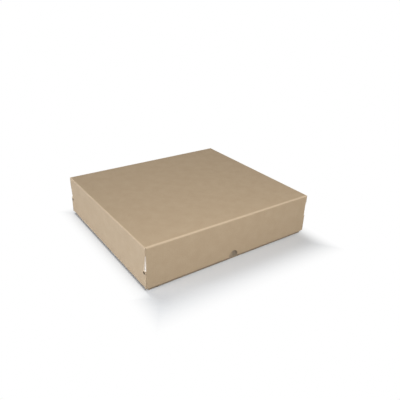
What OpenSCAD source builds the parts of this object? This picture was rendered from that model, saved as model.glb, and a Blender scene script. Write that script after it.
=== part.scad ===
// Gift box for four wine bottles that lie side by side.
// The origin is the centre of the underside, +Z is up and -Y is the front with the thumb notch.

/* [Closed box] */
// Outside width of the lid, across the bottles
box_w = 370; // [340:1:440]
// Outside depth of the lid, along the bottles
box_d = 330; // [310:1:400]
// Height of the closed box
box_h = 86; // [84:1:110]

/* [Board] */
// Thickness of the corrugated board
board = 1.6; // [1.2:0.1:2.0]
// Inner radius of a fold
fold_in_r = 0.5; // [0.3:0.1:0.6]
// Space left between two layers that are folded onto each other
layer_gap = 0.15; // [0.1:0.05:0.3]
// How far the cut edge of an end wall stays behind the long wall
edge_back = 0.3; // [0.2:0.1:0.6]
// Length of the dust flaps inside the end walls
flap_l = 70; // [40:5:100]
// Space between a flap and the panels above and below it
flap_clear = 0.8; // [0.5:0.1:1.5]
// Space between the ends of a rolled-over panel and the long walls
roll_clear = 0.4; // [0.3:0.1:0.8]

/* [Lid] */
// Height of the base tray that shows under the lid
lid_reveal = 6; // [4:0.5:20]
// Space between the base tray and the lid on each side
lid_fit = 0.9; // [0.6:0.1:1.6]
// Space between the rim of the base tray and the lid above it
seat_clear = 0.2; // [0.1:0.05:0.4]
// Width of the thumb notch
notch_w = 20; // [16:1:30]
// Height of the thumb notch
notch_h = 12.5; // [11:0.5:20]

/* [Corner slots of the lid] */
// Distance from the top of the lid to the pointed end of a slot
slot_start = 14; // [10:1:20]
// Length of a slot
slot_l = 31; // [20:1:34]
// Width of a slot at its wide end
slot_w = 5.5; // [3:0.5:8]
// Extra width of the window in the dust flap behind a slot
window_extra = 5; // [3:0.5:8]
// Diameter of the relief hole below a slot
relief_d = 5.5; // [3:0.5:6]
// Distance from the corner to the centre of the relief hole
relief_in = 5.2; // [5:0.1:8]
// Distance from the wide end of a slot to the centre of the relief hole
relief_below = 5; // [4:0.5:8]

/* [Bottle cells] */
// Largest diameter of a bottle
bottle_d = 77; // [70:1:78]
// Height of the dividers above the floor of the tray
divider_h = 70; // [60:1:78]
// Bevel of the top corners of the dividers
divider_bevel = 6; // [2:1:12]
// Space at the ends of the dividers and of the neck support
strip_clear = 0.4; // [0.3:0.1:0.8]
// Distance from the back wall of the tray to the neck support
neck_from_back = 66; // [40:1:90]
// Height of the neck support above the floor of the tray
neck_support_h = 56; // [50:1:64]
// Width of a neck cradle
neck_w = 34; // [30:1:40]
// Extra width of the slots where the strips cross
cross_clear = 0.4; // [0.2:0.1:0.6]

/* [Hidden] */

cells = 4;
kraft = [0.71, 0.61, 0.49];
kraft_inside = [0.78, 0.70, 0.58];
cut_over = 1;
round_fn = 48;

fold_r = fold_in_r + board;
end_t = 3 * board + 2 * layer_gap;
lid_h = box_h - lid_reveal;
base_w = box_w - 2 * (end_t + lid_fit);
base_d = box_d - 2 * (board + lid_fit);
base_h = box_h - board - seat_clear;
inner_w = base_w - 2 * end_t;
inner_d = base_d - 2 * board;
cell_w = (inner_w - (cells - 1) * board) / cells;
cell_pitch = cell_w + board;
neck_y = inner_d / 2 - neck_from_back;
cross_h = neck_support_h / 2;
slot_end = slot_start + slot_l;

// Quarter of a fold seen end on, about the centre of its bend
module bend() {
    intersection() {
        difference() {
            circle(r = fold_r, $fn = round_fn);
            circle(r = fold_in_r, $fn = round_fn);
        }
        square(fold_r);
    }
}

// Copy of a shape on both sides of the middle, along X or along Y
module both_sides(side) {
    children();
    mirror(side) children();
}

// Profile in X and Z, drawn out along Y to the same length each way
module along_y(half) {
    rotate([90, 0, 0]) linear_extrude(2 * half, center = true) children();
}

// Profile in Y and Z, drawn out along X to the same length each way
module along_x(half) {
    rotate([90, 0, 90]) linear_extrude(2 * half, center = true) children();
}

// Floor with the folds that lead up into the two long walls
module floor_profile(half) {
    translate([-(half - fold_r), 0]) square([2 * (half - fold_r), board]);
    both_sides([1, 0]) translate([half - fold_r, fold_r]) mirror([0, 1]) bend();
}

// Upright long walls above the folds
module wall_profile(half, h) {
    both_sides([1, 0]) translate([half - board, fold_r]) square([board, h - fold_r]);
}

// Fold between the floor and an end wall
module end_fold_profile(half) {
    translate([half - fold_r, fold_r]) mirror([0, 1]) bend();
}

// Roll over the rim and the inner layer of an end wall that hangs from it
module roll_profile(half, h) {
    translate([half - fold_r, h - fold_r]) bend();
    translate([half - end_t + fold_r, h - board]) square([end_t - 2 * fold_r, board]);
    translate([half - end_t + fold_r, h - fold_r]) mirror([1, 0]) bend();
    translate([half - end_t, board + layer_gap]) square([board, h - fold_r - board - layer_gap]);
}

// Outer layer of one end wall, with its ears beside the roll
module end_panel(w, d, h) {
    roll_half = d / 2 - board - roll_clear;
    panel_half = d / 2 - edge_back;
    translate([w / 2 - board, -panel_half, fold_r]) cube([board, 2 * panel_half, h - 2 * fold_r]);
    both_sides([0, 1, 0]) translate([w / 2 - board, roll_half, h - fold_r])
        cube([board, panel_half - roll_half, fold_r]);
}

// Dust flap at one end of a long wall, with the fold that carries it
module dust_flap(w, d, h) {
    low = fold_r + flap_clear;
    high = h - board - flap_clear;
    face = w / 2 - board - layer_gap;
    translate([face - fold_r, d / 2 - fold_r, low]) linear_extrude(high - low) bend();
    translate([face - board, d / 2 - flap_l, low]) cube([board, flap_l - fold_r, high - low]);
}

// One folded sheet: floor down, long walls of one layer, end walls rolled over the dust flaps
module folded_tray(w, d, h) {
    roll_half = d / 2 - board - roll_clear;
    along_x(w / 2 - fold_r) floor_profile(d / 2);
    along_x(w / 2 - board - layer_gap - fold_r) wall_profile(d / 2, h);
    both_sides([1, 0, 0]) {
        along_y(d / 2 - edge_back) end_fold_profile(w / 2);
        along_y(roll_half) roll_profile(w / 2, h);
        end_panel(w, d, h);
        both_sides([0, 1, 0]) dust_flap(w, d, h);
    }
}

// Thumb notch through both long walls of the lid, open at the rim
module thumb_notch() {
    centre_z = lid_h - notch_h + notch_w / 2;
    translate([0, 0, centre_z]) rotate([90, 0, 0])
        cylinder(d = notch_w, h = box_d + 2 * cut_over, center = true, $fn = round_fn);
    translate([-notch_w / 2, -box_d / 2 - cut_over, centre_z])
        cube([notch_w, box_d + 2 * cut_over, lid_h - centre_z + cut_over]);
}

// Tapered slot in the outer layer, measured down from the top of the lid
module corner_slot() {
    reach = box_d / 2 + cut_over;
    translate([box_w / 2 - board - layer_gap / 2, 0, 0]) rotate([90, 0, 90])
        linear_extrude(board + layer_gap / 2 + cut_over)
            polygon([[reach, slot_start], [reach, slot_end], [box_d / 2 - slot_w, slot_end],
                [box_d / 2, slot_start]]);
}

// Window in the dust flap, so that the white back of the inner layer shows through the slot
module flap_window() {
    window_w = slot_w + window_extra - fold_r;
    translate([box_w / 2 - 2 * board - 1.5 * layer_gap, box_d / 2 - fold_r - window_w, slot_start])
        cube([board + layer_gap, window_w, slot_l]);
}

// Round relief hole through all the layers
module relief_hole() {
    depth = end_t + 2 * cut_over;
    translate([box_w / 2 - end_t / 2, box_d / 2 - relief_in, slot_end + relief_below])
        rotate([0, 90, 0]) cylinder(d = relief_d, h = depth, center = true, $fn = round_fn);
}

module lid() {
    color(kraft) translate([0, 0, box_h]) mirror([0, 0, 1]) difference() {
        folded_tray(box_w, box_d, lid_h);
        thumb_notch();
        both_sides([1, 0, 0]) both_sides([0, 1, 0]) {
            corner_slot();
            flap_window();
            relief_hole();
        }
    }
}

module base_tray() {
    color(kraft) folded_tray(base_w, base_d, base_h);
}

// Long strip between two cells, cut open from above for the neck support
module divider(number) {
    half_l = inner_d / 2 - strip_clear;
    top = board + divider_h;
    centre_x = -inner_w / 2 + number * cell_pitch - board / 2;
    color(kraft_inside) translate([centre_x, 0, 0]) difference() {
        along_x(board / 2) polygon([[-half_l, board], [half_l, board],
            [half_l, top - divider_bevel], [half_l - divider_bevel, top],
            [divider_bevel - half_l, top], [-half_l, top - divider_bevel]]);
        translate([-board, neck_y - (board + cross_clear) / 2, board + cross_h])
            cube([2 * board, board + cross_clear, divider_h]);
    }
}

module divider_left() {
    divider(1);
}

module divider_middle() {
    divider(2);
}

module divider_right() {
    divider(3);
}

// Cross strip with a cradle for each neck, cut open from below for the dividers
module neck_support() {
    half_l = inner_w / 2 - strip_clear;
    axis_z = board + bottle_d / 2;
    top = board + neck_support_h;
    color(kraft_inside) translate([0, neck_y, 0]) along_y(board / 2) difference() {
        translate([-half_l, board]) square([2 * half_l, neck_support_h]);
        for (cell = [0 : cells - 1]) {
            centre_x = -inner_w / 2 + cell_w / 2 + cell * cell_pitch;
            translate([centre_x, axis_z]) circle(d = neck_w, $fn = round_fn);
            translate([centre_x - neck_w / 2, axis_z]) square([neck_w, top - axis_z + cut_over]);
        }
        for (number = [1 : cells - 1]) {
            centre_x = -inner_w / 2 + number * cell_pitch - board / 2;
            translate([centre_x - (board + cross_clear) / 2, board - cut_over])
                square([board + cross_clear, cross_h + cut_over]);
        }
    }
}

lid();
base_tray();
divider_left();
divider_middle();
divider_right();
neck_support();
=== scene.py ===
import math

import bmesh
import bpy
from mathutils import Matrix, Vector


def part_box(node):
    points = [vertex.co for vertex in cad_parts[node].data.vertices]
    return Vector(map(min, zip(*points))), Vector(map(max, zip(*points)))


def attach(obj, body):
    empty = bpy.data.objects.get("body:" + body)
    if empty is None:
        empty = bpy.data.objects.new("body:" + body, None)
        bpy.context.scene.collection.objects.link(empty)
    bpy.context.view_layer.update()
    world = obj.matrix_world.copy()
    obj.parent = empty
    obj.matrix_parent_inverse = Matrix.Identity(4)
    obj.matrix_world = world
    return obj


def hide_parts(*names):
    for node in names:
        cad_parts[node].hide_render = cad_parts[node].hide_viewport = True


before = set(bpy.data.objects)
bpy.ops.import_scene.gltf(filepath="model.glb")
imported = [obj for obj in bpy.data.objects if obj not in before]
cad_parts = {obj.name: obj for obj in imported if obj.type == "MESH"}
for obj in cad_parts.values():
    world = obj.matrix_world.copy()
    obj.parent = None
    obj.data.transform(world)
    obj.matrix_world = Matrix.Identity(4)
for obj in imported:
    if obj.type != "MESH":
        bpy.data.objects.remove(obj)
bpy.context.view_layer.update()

# Sizes of the box, in metres, taken from the frame
MM = 0.001
lid_low, lid_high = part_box("lid")
tray_low, tray_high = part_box("base_tray")
strip_low, strip_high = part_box("divider_left")
support_low, support_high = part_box("neck_support")
BOARD = strip_high.x - strip_low.x
LAYER_GAP = 0.15 * MM
FOLD_IN = 0.5 * MM
FOLD_OUT = FOLD_IN + BOARD
END_WALL = 3 * BOARD + 2 * LAYER_GAP
EDGE_BACK = 0.3 * MM
FLAP_LENGTH = 70 * MM
FLAP_CLEAR = 0.15 * MM
FLAP_GAP = 0.03 * MM
FLAP_ROUND = 0.5 * MM

# Rows of faces on the sheets and on round cuts
SHEET_GRID = (20, 18)
LINER_GRID = (24, 4)
FOLD_STEPS = 6
BEVEL_STEPS = 3
WALL_ROWS = 5
FLAP_ROWS = 4
END_ROWS = 6
INNER_ROWS = 4
ROUND_SIDES = 48

# Cuts in the lid
NOTCH_WIDTH = 20 * MM
NOTCH_HEIGHT = 12.5 * MM
SLOT_START = 14 * MM
SLOT_LENGTH = 31 * MM
SLOT_WIDTH = 5.5 * MM
POCKET_LIP = 0.6 * MM
POCKET_WIDTH = 10 * MM
POCKET_DEPTH = 0.25 * MM
RELIEF_DIAMETER = 5.5 * MM
RELIEF_IN = 5.2 * MM
RELIEF_BELOW = 5 * MM
CUT_REACH = 5 * MM

# Strips between the bottles
DIVIDER_BEVEL = 6 * MM
CROSS_CLEAR = 0.4 * MM
CRADLE_WIDTH = 34 * MM
BOTTLE_DIAMETER = 77 * MM
CELLS = 4

# Corrugated board
FLUTE_PITCH = 3.3 * MM
FLUTE_STEPS = 8
LINER = 0.22 * MM
MEDIUM = 0.18 * MM
FLUTE_DEPTH = 0.7 * MM
FLUTE_BACK = 0.12 * MM
SIDE_DEPTH = 0.3 * MM
SIDE_BACK = 0.06 * MM

# How far the top of the lid sags and its long walls draw in
TOP_SAG = 0.9 * MM
WALL_DRAW = 0.4 * MM

# Studio: fill, floor, and where the shadow on the floor fades to white, in metres from the lid
FILL_LEVEL = 0.03
FLOOR_SIZE = 12
FLOOR_COLOUR = (0.73, 0.744, 0.757, 1)
SHADOW_NEAR = 0.028
SHADOW_FAR = 0.1
SIDE_SHADOW = 0.03
SHADOW_DRIFT = 0.006

# Name, place, width, height, level and colour of every softbox
CARD_HEIGHT = 0.05
SOFTBOXES = (
    ("back_softbox", (0, 1.4, 2.47), 1.68, 1.68, 0.34, (1, 1, 1)),
    ("left_softbox", (-1.96, 0, 0.47), 1.2, 1.2, 0.475, (0.95, 1.01, 1.12)),
    ("low_left_softbox", (-1.99, 0, 0.22), 1.2, 0.36, 0.33, (0.95, 1.01, 1.12)),
    ("low_front_right_softbox", (1.41, -1.41, 0.22), 1.2, 0.36, 0.26, (1, 1, 1)),
    ("low_right_softbox", (1.99, 0, 0.22), 1.2, 0.36, 0.32, (1, 1, 1)),
    ("near_softbox", (-0.16, -0.60, 0.75), 0.5, 0.5, 0.62, (1, 1, 1)),
)

# Camera at the photograph's angle, in metres, millimetres and degrees
CAMERA_PLACE = (-0.45770, -0.68613, 0.45954)
CAMERA_SENSOR = 36
CAMERA_LENS = 39.404
CAMERA_TURN = 35.837
CAMERA_DROP = 26.139
CAMERA_ROLL = 1.931

# Material slots of every sheet, after slot 0 for its outside
INSIDE = 1
CUT_EDGE = 2
HOLE_PAINTED_SHADE = 3
SLOTS = 4

# Tolerance of a place, and what counts as steep or smooth on a face
TINY = 0.01 * MM
STEEP = 0.7
STRAIGHT = 0.99
SHEET_ANGLE = 35
FLUTE_ANGLE = 50


class Value:
    """One number of a shader. Python's operators add Math nodes."""

    def __init__(self, shader, socket):
        self.shader = shader
        self.socket = socket

    def math(self, operation, *others):
        values = dict(enumerate((self, *others)))
        return self.shader.node("ShaderNodeMath", {"operation": operation}, values)

    def __add__(self, other):
        return self.math("ADD", other)

    __radd__ = __add__

    def __sub__(self, other):
        return self.math("SUBTRACT", other)

    def __rsub__(self, other):
        return (self * -1) + other

    def __mul__(self, other):
        return self.math("MULTIPLY", other)

    __rmul__ = __mul__

    def __abs__(self):
        return self.math("ABSOLUTE")

    def cosine(self):
        return self.math("COSINE")

    def most(self, other):
        return self.math("MAXIMUM", other)

    def rise(self, low, high):
        """0 below low, 1 above high and smooth between them."""
        values = {"Value": self, "From Min": low, "From Max": high}
        return self.shader.node("ShaderNodeMapRange", {"interpolation_type": "SMOOTHSTEP"}, values)


class Shader:
    """The nodes of a material or of the world, written as expressions."""

    def __init__(self, owner):
        owner.use_nodes = True
        self.owner = owner
        self.tree = owner.node_tree
        self.tree.nodes.clear()

    def node(self, kind, settings=None, values=None, output=0):
        made = self.tree.nodes.new(kind)
        for key, setting in (settings or {}).items():
            setattr(made, key, setting)
        for key, value in (values or {}).items():
            if isinstance(value, Value):
                self.tree.links.new(value.socket, made.inputs[key])
            else:
                made.inputs[key].default_value = value
        return Value(self, made.outputs[output]) if made.outputs else None

    def split(self, vector):
        parts = self.node("ShaderNodeSeparateXYZ", {}, {0: vector}).socket.node
        return [Value(self, parts.outputs[axis]) for axis in range(3)]

    def place(self):
        """Object coordinates of the point, in metres."""
        return self.split(self.node("ShaderNodeTexCoord", output="Object"))

    def sheet(self):
        """The piece's own map: across the flutes and along them, in metres."""
        return self.node("ShaderNodeUVMap", {"uv_map": "sheet"})

    def scaled(self, vector, across, along, turn=0.0):
        """The map turned and then scaled to so many cells a metre each way."""
        values = {"Vector": vector, "Rotation": (0, 0, turn), "Scale": (1 / across, 1 / along, 1)}
        return self.node("ShaderNodeMapping", {"vector_type": "TEXTURE"}, values)

    def noise(self, vector, scale=1.0, detail=2.0, rough=0.5):
        values = {"Vector": vector, "Scale": scale, "Detail": detail, "Roughness": rough}
        return self.node("ShaderNodeTexNoise", {}, values)

    def mix(self, factor, first, second):
        settings = {"data_type": "RGBA", "blend_type": "MIX", "clamp_factor": True}
        return self.node("ShaderNodeMix", settings, {0: factor, 6: first, 7: second}, output=2)

    def finish(self, colour, roughness, height, distance, specular):
        bump = {"Height": height, "Distance": distance, "Strength": 1.0}
        values = {"Base Color": colour, "Roughness": roughness, "Specular IOR Level": specular,
                  "Normal": self.node("ShaderNodeBump", {}, bump)}
        surface = self.node("ShaderNodeBsdfPrincipled", {}, values)
        self.node("ShaderNodeOutputMaterial", {}, {"Surface": surface})
        return self.owner


def paper(name, dark, light, fleck, painted_light_mask=None, painted_light_colour=None, washboard=0.05):
    """Uncoated paper liner on corrugated board: cloudy fibres, flecks and a faint washboard."""
    shader = Shader(bpy.data.materials.new(name))
    sheet = shader.sheet()
    across = shader.split(sheet)[0]
    cloud = shader.noise(shader.scaled(sheet, 45, 45), detail=4, rough=0.6)
    grain = shader.noise(shader.scaled(sheet, 900, 700), detail=3, rough=0.7)
    long_fibres = shader.noise(shader.scaled(sheet, 260, 2400, 0.25), detail=2)
    cross_fibres = shader.noise(shader.scaled(sheet, 300, 2000, -0.5), detail=2)
    flute = (across * (2 * math.pi / FLUTE_PITCH)).cosine()
    fibres = long_fibres + cross_fibres - 1.0
    tone = (cloud - 0.5) * 0.9 + (grain - 0.5) * 0.9 + fibres * 0.7 + flute * washboard + 0.5
    colour = shader.mix(tone, dark, light)
    specks = shader.noise(shader.scaled(sheet, 1500, 2600, 0.9), detail=1).rise(0.68, 0.76)
    colour = shader.mix(specks * 0.55, colour, fleck)
    # Optional mask of painted light, mixed towards its colour
    if painted_light_mask:
        colour = shader.mix(painted_light_mask(shader), colour, painted_light_colour)
    height = flute * 0.35 + fibres * 0.25 + (grain - 0.5) * 0.3
    roughness = 0.72 + (grain - 0.5) * 0.2
    return shader.finish(colour, roughness, height, 0.05 * MM, specular=0.12)


def lid_fold_wear_and_highlight(shader):
    """Where the outer liner is stretched over the long top folds, painted lighter: partly wear, partly
    a painted highlight.
    """
    x, y, z = shader.place()
    upper = z.rise(lid_high.z - 3.0 * MM, lid_high.z - 1.6 * MM)
    long_fold = abs(y).rise(lid_high.y - 3.6 * MM, lid_high.y - 2.0 * MM)
    end_fold = abs(x).rise(lid_high.x - 3.0 * MM, lid_high.x - 1.0 * MM)
    return (upper * long_fold * 0.8).most(upper * end_fold * 0.25)


def tray_painted_shade(shader):
    """Painted shade on the tray, darker than the lid: behind the notches and along its foot."""
    x, y, z = shader.place()
    # Painted shade: a dark patch behind each thumb notch, a little off centre, and a darker band along
    # the foot
    across = 1 - abs(x - 4 * MM).rise(2 * MM, 10 * MM)
    upright = 1 - abs(z - 10 * MM).rise(3 * MM, 11 * MM)
    outer_face = abs(y).rise(tray_high.y - MM, tray_high.y - 0.5 * MM)
    foot = 1 - z.rise(5 * MM, 12 * MM)
    return (across * upright * outer_face * 0.6).most(foot * 0.35)


def bare_board(name, dark, light):
    """The cut through a liner, and the rough paper of the flutes; also the painted shade in the relief
    holes.
    """
    shader = Shader(bpy.data.materials.new(name))
    point = shader.node("ShaderNodeTexCoord", output="Object")
    grain = shader.noise(point, 2200, 3, 0.7)
    blotch = shader.noise(point, 180, 2)
    colour = shader.mix(grain * 0.7 + blotch * 0.3, dark, light)
    return shader.finish(colour, 0.9, grain, 0.06 * MM, specular=0.05)


def deselect():
    """Leaves edit mode with nothing selected."""
    if bpy.context.object and bpy.context.object.mode != "OBJECT":
        bpy.ops.object.mode_set(mode="OBJECT")
    bpy.ops.object.select_all(action="DESELECT")


def choose(piece):
    """Selects one piece and nothing else."""
    deselect()
    piece.select_set(True)
    bpy.context.view_layer.objects.active = piece


def edit(piece, kind="EDGE"):
    """Enters edit mode on one piece, with nothing in it selected."""
    choose(piece)
    bpy.ops.object.mode_set(mode="EDIT")
    bpy.ops.mesh.select_mode(type=kind)
    bpy.ops.mesh.select_all(action="DESELECT")


def pick_edges(test):
    """Selects only the edges whose two ends both pass the test."""
    bpy.ops.mesh.select_all(action="DESELECT")
    mesh = bpy.context.edit_object.data
    shape = bmesh.from_edit_mesh(mesh)
    for edge in shape.edges:
        edge.select_set(test(edge.verts[0].co) and test(edge.verts[1].co))
    bmesh.update_edit_mesh(mesh)


def pick_faces(test):
    """Selects only the faces that pass the test."""
    bpy.ops.mesh.select_all(action="DESELECT")
    mesh = bpy.context.edit_object.data
    shape = bmesh.from_edit_mesh(mesh)
    for face in shape.faces:
        face.select_set(test(face))
    bmesh.update_edit_mesh(mesh)


def pick_points(test):
    """Selects only the points that pass the test."""
    bpy.ops.mesh.select_all(action="DESELECT")
    mesh = bpy.context.edit_object.data
    shape = bmesh.from_edit_mesh(mesh)
    for point in shape.verts:
        point.select_set(test(point.co))
    bmesh.update_edit_mesh(mesh)


def spin(centre, axis, degrees):
    """Draws the selected edges round a fold."""
    bpy.ops.mesh.spin(steps=FOLD_STEPS, angle=math.radians(degrees), center=centre, axis=axis)


def pull(step, rows=1):
    """Extrudes the selected edges by a step, in equal rows."""
    part = Vector(step) / rows
    for row in range(rows):
        bpy.ops.mesh.extrude_region_move(TRANSFORM_OT_translate={"value": part})


def modify(piece, kind, **settings):
    """Adds one modifier and applies it."""
    choose(piece)
    modifier = piece.modifiers.new(kind.title(), kind)
    for key, value in settings.items():
        setattr(modifier, key, value)
    bpy.ops.object.modifier_apply(modifier=modifier.name)


def near(a, b):
    return abs(a - b) < TINY


def half_sizes(low, high):
    """Half the width, half the depth and the height of a box."""
    return (high.x - low.x) / 2, (high.y - low.y) / 2, high.z - low.z


def add_slots(piece):
    """Empty material slots for every side of a sheet."""
    while len(piece.data.materials) < SLOTS:
        piece.data.materials.append(None)


def raise_long_walls(floor, wall_x, half_y, height):
    """Folds the front and back walls up from the floor, with a dust flap at each end."""
    low = FOLD_OUT + FLAP_CLEAR
    high = height - BOARD - FLAP_CLEAR
    for side in (-1, 1):
        pick_edges(lambda p: near(p.y, side * floor.y) and near(p.z, 0))
        spin((0, side * floor.y, FOLD_OUT), (1, 0, 0), -90 * side)
        pick_edges(lambda p: near(p.y, side * half_y) and abs(p.x) < wall_x + TINY)
        pull((0, 0, low - FOLD_OUT))
        pull((0, 0, high - low), WALL_ROWS)
        pull((0, 0, height - high))
        for end in (-1, 1):
            pick_edges(lambda p: near(p.x, end * wall_x) and near(p.y, side * half_y)
                       and low - TINY < p.z < high + TINY)
            pull((end * FOLD_OUT, 0, 0))
            pull((0, -side * FLAP_LENGTH, 0), FLAP_ROWS)


def raise_end_walls(floor, half_x, height):
    """Folds the end walls up and rolls them over the dust flaps."""
    for end in (-1, 1):
        roll_z = height - FOLD_OUT
        pick_edges(lambda p: near(p.x, end * floor.x) and near(p.z, 0) and abs(p.y) < floor.y + TINY)
        spin((end * floor.x, 0, FOLD_OUT), (0, 1, 0), 90 * end)
        pull((0, 0, roll_z - FOLD_OUT), END_ROWS)
        spin((end * floor.x, 0, roll_z), (0, 1, 0), 90 * end)
        pull((-end * (END_WALL - 2 * FOLD_OUT), 0, 0))
        inner_x = half_x - END_WALL + FOLD_OUT
        spin((end * inner_x, 0, roll_z), (0, 1, 0), 90 * end)
        pull((0, 0, BOARD + LAYER_GAP - roll_z), INNER_ROWS)
        for side in (-1, 1):
            pick_edges(lambda p: near(p.y, side * floor.y) and end * p.x > floor.x - TINY
                       and p.z < roll_z + TINY
                       and (p.z < FOLD_OUT + TINY or near(end * p.x, half_x)))
            pull((0, side * (FOLD_OUT - EDGE_BACK), 0))
            pick_edges(lambda p: near(p.x, end * half_x) and near(p.z, roll_z)
                       and side * p.y > floor.y - TINY)
            pull((0, 0, FOLD_OUT))


def folded_sheet(name, low, high):
    """One sheet folded into a tray, floor down and rim up, from its outer face inwards."""
    half_x, half_y, height = half_sizes(low, high)
    floor = Vector((half_x - FOLD_OUT, half_y - FOLD_OUT, 0))
    wall_x = half_x - BOARD - FLAP_GAP - FOLD_OUT
    deselect()
    bpy.ops.mesh.primitive_grid_add(x_subdivisions=SHEET_GRID[0], y_subdivisions=SHEET_GRID[1], size=2)
    piece = bpy.context.object
    piece.name = name
    piece.data.name = name
    piece.scale = (floor.x, floor.y, 1)
    bpy.ops.object.transform_apply(location=False, rotation=False, scale=True)
    add_slots(piece)
    edit(piece)
    for end in (-1, 1):
        bpy.ops.mesh.select_all(action="SELECT")
        bpy.ops.mesh.bisect(plane_co=(end * wall_x, 0, 0), plane_no=(1, 0, 0))
    raise_long_walls(floor, wall_x, half_y, height)
    raise_end_walls(floor, half_x, height)
    bpy.ops.mesh.select_all(action="SELECT")
    bpy.ops.mesh.remove_doubles(threshold=TINY)
    bpy.ops.mesh.normals_make_consistent(inside=False)
    faces = bmesh.from_edit_mesh(piece.data).faces
    middle = min(faces, key=lambda face: face.calc_center_median().length)
    if middle.normal.z > 0:
        bpy.ops.mesh.flip_normals()
    bpy.ops.object.mode_set(mode="OBJECT")
    modify(piece, "SOLIDIFY", thickness=BOARD, offset=-1, use_even_offset=True,
           material_offset=INSIDE, material_offset_rim=CUT_EDGE)
    edit(piece)
    corner_x = wall_x + FOLD_OUT
    pick_edges(lambda p: near(abs(p.x), corner_x) and near(abs(p.y), half_y))
    bpy.ops.mesh.bevel(offset=FLAP_ROUND, segments=BEVEL_STEPS)
    bpy.ops.object.mode_set(mode="OBJECT")
    return piece


def cutter(low, high):
    """Box that cuts, with the cut faces in the material of the cut edge."""
    deselect()
    bpy.ops.mesh.primitive_cube_add(size=1)
    box = bpy.context.object
    box.data.transform(Matrix.Diagonal((*(Vector(high) - Vector(low)), 1)))
    box.data.transform(Matrix.Translation((Vector(high) + Vector(low)) / 2))
    return cutting(box)


def round_cutter(centre, radius, length, axis):
    """Cylinder that cuts, along X or along Y."""
    deselect()
    turn = (0, math.pi / 2, 0) if axis == "X" else (math.pi / 2, 0, 0)
    bpy.ops.mesh.primitive_cylinder_add(vertices=ROUND_SIDES, radius=radius, depth=length,
                                        location=centre, rotation=turn)
    bpy.ops.object.transform_apply()
    return cutting(bpy.context.object)


def cutting(tool, slot=CUT_EDGE):
    """Gives a tool the material that it leaves on the faces it cuts."""
    add_slots(tool)
    for face in tool.data.polygons:
        face.material_index = slot
    return tool


def cut(piece, tools, operation="DIFFERENCE", keep=False):
    """Cuts a piece with every tool, and removes the tools unless they are kept."""
    for tool in tools:
        modify(piece, "BOOLEAN", object=tool, operation=operation, solver="EXACT",
               material_mode="INDEX")
        if not keep:
            bpy.data.objects.remove(tool)


def flute_ribbon(name, start, along, wave, deep, length, depth):
    """Waved paper from start: so long along the cut edge and so deep into the board."""
    amplitude = (BOARD - 2 * LINER - MEDIUM) / 2 - TINY
    deselect()
    bpy.ops.mesh.primitive_grid_add(x_subdivisions=FLUTE_STEPS, y_subdivisions=1, size=1)
    piece = bpy.context.object
    piece.name = name
    piece.data.name = name
    piece.data.transform(Matrix.Translation((0.5, 0.5, 0)))
    piece.data.transform(Matrix.Diagonal((FLUTE_PITCH, depth, 1, 1)))
    edit(piece, "VERT")
    for column in range(FLUTE_STEPS + 1):
        angle = 2 * math.pi * column / FLUTE_STEPS
        pick_points(lambda p: near(p.x, column * FLUTE_PITCH / FLUTE_STEPS))
        bpy.ops.transform.translate(value=(0, 0, amplitude * math.cos(angle)))
    bpy.ops.object.mode_set(mode="OBJECT")
    modify(piece, "ARRAY", count=math.ceil(length / FLUTE_PITCH), use_relative_offset=False,
           use_constant_offset=True, constant_offset_displace=(FLUTE_PITCH, 0, 0),
           use_merge_vertices=True, merge_threshold=TINY)
    edit(piece)
    bpy.ops.mesh.select_all(action="SELECT")
    bpy.ops.mesh.bisect(plane_co=(length, 0, 0), plane_no=(1, 0, 0), clear_outer=True)
    bpy.ops.object.mode_set(mode="OBJECT")
    modify(piece, "SOLIDIFY", thickness=MEDIUM, offset=0)
    turn = Matrix((along, deep, wave)).transposed().to_4x4()
    piece.data.transform(Matrix.Translation(start) @ turn)
    outward(piece)
    return piece


def outward(piece):
    """Turns every face of a closed piece outwards."""
    edit(piece)
    bpy.ops.mesh.select_all(action="SELECT")
    bpy.ops.mesh.normals_make_consistent(inside=False)
    bpy.ops.object.mode_set(mode="OBJECT")


def join(name, parts):
    """One piece of several parts."""
    choose(parts[0])
    for part in parts[1:]:
        part.select_set(True)
    if len(parts) > 1:
        bpy.ops.object.join()
    parts[0].name = name
    parts[0].data.name = name
    return parts[0]


def hollow_edges(piece, test, depth):
    """Sinks the middle of the picked cut edges, so that the liners stand on both sides."""
    edit(piece, "FACE")
    pick_faces(lambda face: face.material_index == CUT_EDGE and test(face))
    bpy.ops.mesh.inset(thickness=LINER, use_even_offset=True, use_boundary=True)
    bpy.ops.mesh.extrude_region_shrink_fatten(
        TRANSFORM_OT_shrink_fatten={"value": -depth, "use_even_offset": True})
    bpy.ops.object.mode_set(mode="OBJECT")


def notch_tools(half_y, height, grow=0.0):
    """Round end and straight sides of the thumb notch, in a wall whose rim is up."""
    centre_z = height - NOTCH_HEIGHT + NOTCH_WIDTH / 2
    reach = half_y + 2 * CUT_REACH
    radius = NOTCH_WIDTH / 2 + grow
    rounded = round_cutter((0, 0, centre_z), radius, 2 * reach, "Y")
    straight = cutter((-radius, -reach, centre_z), (radius, reach, height + 2 * CUT_REACH))
    cut(rounded, [straight], "UNION")
    return rounded


def slot_tool(half_x, half_y, end, side):
    """Tapered slot of one corner, measured up from the top panel."""
    outer = half_x + CUT_REACH
    inner = half_x - BOARD - FLAP_GAP / 2
    wedge = cutter((0, -1, SLOT_START), (outer - inner, 1, SLOT_START + SLOT_LENGTH))
    for point in wedge.data.vertices:
        across = half_y + CUT_REACH
        if point.co.y < 0:
            across = half_y - (SLOT_WIDTH if point.co.z > SLOT_START + TINY else 0)
        point.co = (end * (inner + point.co.x), side * across, point.co.z)
    outward(wedge)
    # The slot's cut faces take the white liner, partly a painted highlight
    return cutting(wedge, INSIDE)


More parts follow.
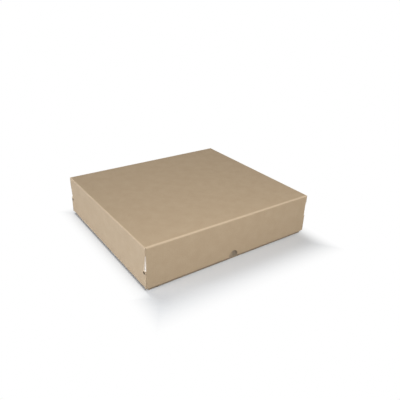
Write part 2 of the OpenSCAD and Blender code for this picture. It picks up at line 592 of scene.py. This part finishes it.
def corner_tools(half_x, half_y):
    """Slot, white pocket behind it and relief hole of every corner; the white of slot and pocket is
    partly a painted highlight.
    """
    tools = []
    slot_end = SLOT_START + SLOT_LENGTH
    front = half_x - BOARD - FLAP_GAP / 2
    near_end = half_y - POCKET_LIP
    for end in (-1, 1):
        for side in (-1, 1):
            tools.append(slot_tool(half_x, half_y, end, side))
            ends = sorted((side * near_end, side * (near_end - POCKET_WIDTH)))
            depth = sorted((end * front, end * (front - FLAP_GAP / 2 - POCKET_DEPTH)))
            pocket = cutter((depth[0], ends[0], SLOT_START), (depth[1], ends[1], slot_end))
            # The pocket shows the white liner, partly a painted highlight
            tools.append(cutting(pocket, INSIDE))
            centre = (end * (half_x - END_WALL / 2), side * (half_y - RELIEF_IN),
                      slot_end + RELIEF_BELOW)
            hole = round_cutter(centre, RELIEF_DIAMETER / 2, END_WALL + 2 * MM, "X")
            # The relief hole's walls take the painted shade
            tools.append(cutting(hole, HOLE_PAINTED_SHADE))
    return tools


def sheet_map(piece):
    """UV map in metres: first across the flutes, then along them."""
    layer = piece.data.uv_layers.get("sheet") or piece.data.uv_layers.new(name="sheet")
    for other in list(piece.data.uv_layers):
        if other.name != "sheet":
            piece.data.uv_layers.remove(other)
    layer = piece.data.uv_layers["sheet"]
    for face in piece.data.polygons:
        normal = face.normal
        for corner in face.loop_indices:
            point = piece.data.vertices[piece.data.loops[corner].vertex_index].co
            if abs(normal.x) > STEEP:
                layer.data[corner].uv = (point.z, point.y)
            elif abs(normal.y) > STEEP:
                layer.data[corner].uv = (point.x, point.z)
            else:
                layer.data[corner].uv = (point.x, point.y)


def finish_piece(piece, materials, angle=SHEET_ANGLE):
    """Gives a piece its materials, its map and smooth faces where it bends gently."""
    for slot, material in enumerate(materials):
        if slot < len(piece.data.materials):
            piece.data.materials[slot] = material
        else:
            piece.data.materials.append(material)
    sheet_map(piece)
    choose(piece)
    bpy.ops.object.shade_smooth_by_angle(angle=math.radians(angle))
    deselect()
    return piece


def edge_flutes(name, low, high, notch=False):
    """Flutes that show in the rims of the long walls and the side edges of the end walls."""
    half_x, half_y, height = half_sizes(low, high)
    wall_x = half_x - BOARD - FLAP_GAP - FOLD_OUT
    depth = FLUTE_DEPTH - 2 * FLUTE_BACK
    round_notch = FLUTE_DEPTH - FLUTE_BACK
    parts = []
    for side in (-1, 1):
        wall_y = side * (half_y - BOARD / 2)
        start = Vector((-wall_x + LINER, wall_y, height - FLUTE_BACK))
        length = 2 * (wall_x - LINER)
        rim = flute_ribbon(name, start, (1, 0, 0), (0, 1, 0), (0, 0, -1), length, depth)
        if notch:
            cut(rim, [notch_tools(half_y, height, round_notch)])
            reach = math.ceil((NOTCH_WIDTH / 2 + FLUTE_DEPTH) / FLUTE_PITCH) * FLUTE_PITCH
            arch = flute_ribbon(name, start + Vector((wall_x - LINER - reach, 0, 0)), (1, 0, 0),
                                (0, 1, 0), (0, 0, -1), 2 * reach, NOTCH_HEIGHT + FLUTE_DEPTH)
            cut(arch, [notch_tools(half_y, height, FLUTE_BACK)])
            cut(arch, [notch_tools(half_y, height, round_notch)], "INTERSECT")
            parts.append(arch)
        parts.append(rim)
        for end in (-1, 1):
            start = Vector((end * (half_x - BOARD / 2), side * (half_y - EDGE_BACK - SIDE_BACK),
                            FOLD_OUT))
            edge = flute_ribbon(name, start, (0, 0, 1), (1, 0, 0), (0, -side, 0),
                                height - FOLD_OUT - LINER, SIDE_DEPTH - 2 * SIDE_BACK)
            if notch:
                cut(edge, [slot_tool(half_x, half_y, end, side)])
            parts.append(edge)
    return join(name, parts)


def panel(length, height, thickness):
    """Upright liner, standing on z = 0 with its middle at x = 0."""
    deselect()
    bpy.ops.mesh.primitive_grid_add(x_subdivisions=LINER_GRID[0], y_subdivisions=LINER_GRID[1], size=1)
    piece = bpy.context.object
    add_slots(piece)
    piece.data.transform(Matrix.Translation((0, 0.5, 0)))
    piece.data.transform(Matrix.Diagonal((length, height, 1, 1)))
    piece.data.transform(Matrix.Rotation(math.pi / 2, 4, "X"))
    modify(piece, "SOLIDIFY", thickness=thickness, offset=0, material_offset=INSIDE,
           material_offset_rim=CUT_EDGE)
    outward(piece)
    return piece


def board_strip(name, length, height, bevel, tools):
    """Strip of corrugated board: two liners with upright flutes between them."""
    liners = []
    for side in (-1, 1):
        liner = panel(length, height, LINER)
        liner.data.transform(Matrix.Translation((0, side * (BOARD - LINER) / 2, 0)))
        liners.append(liner)
    medium = flute_ribbon(name + "_flutes", Vector((-length / 2 + TINY, 0, TINY)), (1, 0, 0),
                          (0, 1, 0), (0, 0, 1), length - 2 * TINY, height - FLUTE_BACK)
    parts = [*liners, medium]
    for part in parts:
        if bevel:
            edit(part)
            for end in (-1, 1):
                corner = (end * (length / 2 - bevel), 0, height)
                bpy.ops.mesh.select_all(action="SELECT")
                bpy.ops.mesh.bisect(plane_co=corner, plane_no=(end, 0, 1), clear_outer=True,
                                    use_fill=True)
            bpy.ops.object.mode_set(mode="OBJECT")
        cut(part, tools, keep=True)
    for tool in tools:
        bpy.data.objects.remove(tool)
    return join(name + "_board", liners), medium


def settle(piece):
    """The top panel sags a little, and the walls draw in between their corners."""
    half_x = lid_high.x
    half_y = lid_high.y
    for point in piece.data.vertices:
        place = point.co
        across = 1 - (place.x / half_x) ** 2
        along = 1 - (place.y / half_y) ** 2
        below = min(1, max(0, (lid_high.z - place.z) / (lid_high.z - lid_low.z)))
        top = min(1, max(0, (place.z - lid_high.z + FOLD_OUT + MM) / MM))
        place.z -= TOP_SAG * across * along * top
        if abs(place.y) > half_y - FOLD_OUT:
            place.y -= math.copysign(WALL_DRAW * across * below, place.y)
    piece.data.update()


def box_shell(name, low, high, notch):
    """Folded sheet of the lid or the tray and its flutes, floor down."""
    half_x, half_y, height = half_sizes(low, high)
    sheet = folded_sheet(name + "_sheet", low, high)
    if notch:
        cut(sheet, [notch_tools(half_y, height)])
        cut(sheet, corner_tools(half_x, half_y))

    def wall_rim(face):
        middle = face.calc_center_median()
        rim = face.normal.z > STRAIGHT and middle.z > height - TINY
        arch = notch and abs(middle.x) < NOTCH_WIDTH / 2 + TINY and abs(face.normal.y) < 0.1
        return abs(middle.y) > half_y - BOARD and (rim or arch)

    def side_edge(face):
        middle = face.calc_center_median()
        return abs(face.normal.y) > STRAIGHT and near(abs(middle.y), half_y - EDGE_BACK)

    hollow_edges(sheet, wall_rim, FLUTE_DEPTH)
    hollow_edges(sheet, side_edge, SIDE_DEPTH)
    return sheet, edge_flutes(name + "_flutes", low, high, notch)


# Finishes
# Lid kraft; over the top folds it is painted lighter, partly wear and partly a painted highlight
kraft = paper("kraft", (0.406, 0.298, 0.190, 1), (0.490, 0.378, 0.254, 1), (0.25, 0.17, 0.095, 1),
              lid_fold_wear_and_highlight, (0.62, 0.485, 0.335, 1))
# Tray and strip kraft: a darker, greyer copy of the lid's kraft as painted shade, with more painted
# shade behind the notches and along the foot
kraft_painted_shade = paper("kraft_painted_shade", (0.352, 0.268, 0.180, 1), (0.425, 0.335, 0.236, 1),
                    (0.23, 0.16, 0.095, 1), tray_painted_shade, (0.14, 0.12, 0.095, 1))
white_liner = paper("white_liner", (0.76, 0.685, 0.60, 1), (0.88, 0.80, 0.71, 1),
                    (0.52, 0.45, 0.37, 1), washboard=0.03)
cut_liner = bare_board("cut_liner", (0.45, 0.345, 0.23, 1), (0.61, 0.48, 0.34, 1))
# Nearly black walls of the relief holes: painted shade
hole_painted_shade = bare_board("hole_painted_shade", (0.10, 0.07, 0.045, 1), (0.17, 0.12, 0.08, 1))
fluting = bare_board("fluting", (0.45, 0.345, 0.235, 1), (0.61, 0.485, 0.345, 1))

# Lid: folded floor down like the tray, then turned over
lid_sheet, lid_flutes = box_shell("lid", lid_low, lid_high, True)
for piece in (lid_sheet, lid_flutes):
    piece.data.transform(Matrix.Rotation(math.pi, 4, "X"))
    piece.data.transform(Matrix.Translation((0, 0, lid_high.z)))
    settle(piece)
finish_piece(lid_sheet, (kraft, white_liner, cut_liner, hole_painted_shade))
finish_piece(lid_flutes, (fluting,), FLUTE_ANGLE)
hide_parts("lid")

# Base tray
tray_sheet, tray_flutes = box_shell("tray", tray_low, tray_high, False)
finish_piece(tray_sheet, (kraft_painted_shade, white_liner, cut_liner, hole_painted_shade))
finish_piece(tray_flutes, (fluting,), FLUTE_ANGLE)
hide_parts("base_tray")

# Dividers: modelled once along X, then turned along Y and copied
divider_length = strip_high.y - strip_low.y
divider_height = strip_high.z - strip_low.z
neck_y = (support_low.y + support_high.y) / 2
support_height = support_high.z - support_low.z
cross_height = support_height / 2
cross_half = (BOARD + CROSS_CLEAR) / 2
slot = cutter((neck_y - cross_half, -BOARD, cross_height),
              (neck_y + cross_half, BOARD, divider_height + BOARD))
first_board, first_flutes = board_strip("divider", divider_length, divider_height,
                                        DIVIDER_BEVEL, [slot])
strips = []
for side in ("left", "middle", "right"):
    low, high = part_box("divider_" + side)
    place = Matrix.Translation(((low.x + high.x) / 2, 0, low.z))
    place = place @ Matrix.Rotation(math.pi / 2, 4, "Z")
    for model, part in ((first_board, "board"), (first_flutes, "flutes")):
        mesh = model.data.copy()
        mesh.transform(place)
        piece = bpy.data.objects.new(f"divider_{side}_{part}", mesh)
        mesh.name = piece.name
        bpy.context.scene.collection.objects.link(piece)
        strips.append(piece)
        if part == "board":
            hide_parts("divider_" + side)
bpy.data.objects.remove(first_board)
bpy.data.objects.remove(first_flutes)

# Neck support with a cradle for every bottle
support_length = support_high.x - support_low.x
axis_z = BOTTLE_DIAMETER / 2
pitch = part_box("divider_middle")[0].x - strip_low.x
reach = 4 * BOARD
tools = []
for cell in range(CELLS):
    centre = (cell - (CELLS - 1) / 2) * pitch
    cradle = round_cutter((centre, 0, axis_z), CRADLE_WIDTH / 2, 2 * reach, "Y")
    mouth = cutter((centre - CRADLE_WIDTH / 2, -reach, axis_z),
                   (centre + CRADLE_WIDTH / 2, reach, support_height + BOARD))
    cut(cradle, [mouth], "UNION")
    tools.append(cradle)
for number in range(1, CELLS):
    centre = (number - CELLS / 2) * pitch
    tools.append(cutter((centre - cross_half, -reach, -BOARD),
                        (centre + cross_half, reach, cross_height)))
support_board, support_flutes = board_strip("neck_support", support_length, support_height,
                                            0, tools)
for piece in (support_board, support_flutes):
    piece.data.transform(Matrix.Translation((0, neck_y, support_low.z)))
    strips.append(piece)
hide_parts("neck_support")

# What every piece rides on, and the finish that it takes
for piece in strips:
    if piece.name.endswith("board"):
        finish_piece(piece, (kraft_painted_shade, kraft_painted_shade, cut_liner, hole_painted_shade))
    else:
        finish_piece(piece, (fluting,), FLUTE_ANGLE)
    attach(piece, "base")
for piece in (lid_sheet, lid_flutes):
    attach(piece, "lid")
for piece in (tray_sheet, tray_flutes):
    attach(piece, "base")

# Floor: matte where the shadow of the box lies, and white to the camera everywhere else
deselect()
bpy.ops.mesh.primitive_grid_add(x_subdivisions=2, y_subdivisions=2, size=FLOOR_SIZE)
floor = bpy.context.object
floor.name = "floor"
floor_shader = Shader(bpy.data.materials.new("studio_floor"))
matte = floor_shader.node("ShaderNodeBsdfDiffuse", {}, {"Color": FLOOR_COLOUR})
bright = floor_shader.node("ShaderNodeEmission", {}, {"Color": (1, 1, 1, 1), "Strength": 1.0})
seen = floor_shader.node("ShaderNodeLightPath", output="Is Camera Ray")
across, along, above = floor_shader.place()
in_front = along * -1 - lid_high.y
at_side = abs(across) - lid_high.x
outside = at_side.most(along - lid_high.y)
beside = outside.rise(-SIDE_SHADOW, SIDE_SHADOW) * outside.rise(-3 * MM, MM)
beside = beside * (1 - in_front.rise(0, SIDE_SHADOW))
past_shadow = in_front.rise(SHADOW_NEAR, SHADOW_FAR)
past_end = abs(across + SHADOW_DRIFT) - lid_high.x
past_shadow = past_shadow.most(past_end.rise(-0.6 * SIDE_SHADOW, 1.1 * SIDE_SHADOW))
glow = seen * past_shadow.most(beside)
floor_mix = floor_shader.node("ShaderNodeMixShader", {}, {0: glow, 1: matte, 2: bright})
floor_shader.node("ShaderNodeOutputMaterial", {}, {"Surface": floor_mix})
floor.data.materials.append(floor_shader.owner)

# World: plain fill that looks white behind the floor
world = bpy.data.worlds.new("studio")
bpy.context.scene.world = world
sky = Shader(world)
camera_ray = sky.node("ShaderNodeLightPath", output="Is Camera Ray")
glossy_ray = sky.node("ShaderNodeLightPath", output="Is Glossy Ray")
clear_ray = sky.node("ShaderNodeLightPath", output="Is Transmission Ray")
fill = sky.node("ShaderNodeBackground", {}, {"Color": (1, 1, 1, 1), "Strength": FILL_LEVEL})
white = sky.node("ShaderNodeBackground", {}, {"Color": (1, 1, 1, 1), "Strength": 1.0})
white_ray = camera_ray.most(glossy_ray).most(clear_ray)
backdrop = sky.node("ShaderNodeMixShader", {}, {0: white_ray, 1: fill, 2: white})
sky.node("ShaderNodeOutputWorld", {}, {"Surface": backdrop})


def softbox(name, place, width, height, level, colour):
    """Area lamp; level is the light on a white card that faces it beside the box."""
    lamp = bpy.data.lights.new(name, "AREA")
    lamp.shape = "RECTANGLE"
    lamp.size = width
    lamp.size_y = height
    reach = Vector(place) - Vector((0, 0, CARD_HEIGHT))
    lamp.energy = level * math.pi ** 2 * reach.length ** 2
    lamp.color = colour
    held = bpy.data.objects.new(name, lamp)
    bpy.context.scene.collection.objects.link(held)
    held.location = place
    held.rotation_euler = reach.to_track_quat("Z", "Y").to_euler()


for box in SOFTBOXES:
    softbox(*box)

# Camera at the photograph's angle
camera_data = bpy.data.cameras.new("camera")
camera_data.sensor_width = CAMERA_SENSOR
camera_data.lens = CAMERA_LENS
camera = bpy.data.objects.new("camera", camera_data)
bpy.context.scene.collection.objects.link(camera)
turn, drop, roll = (math.radians(angle) for angle in (CAMERA_TURN, CAMERA_DROP, CAMERA_ROLL))
forward = Vector((math.sin(turn) * math.cos(drop), math.cos(turn) * math.cos(drop), -math.sin(drop)))
level_right = Vector((math.cos(turn), -math.sin(turn), 0))
level_up = level_right.cross(forward)
right = level_right * math.cos(roll) + level_up * math.sin(roll)
up = level_up * math.cos(roll) - level_right * math.sin(roll)
facing = Matrix((right, up, -forward)).transposed().to_4x4()
camera.matrix_world = Matrix.Translation(CAMERA_PLACE) @ facing
bpy.context.scene.camera = camera
bpy.context.scene.view_settings.view_transform = "Standard"
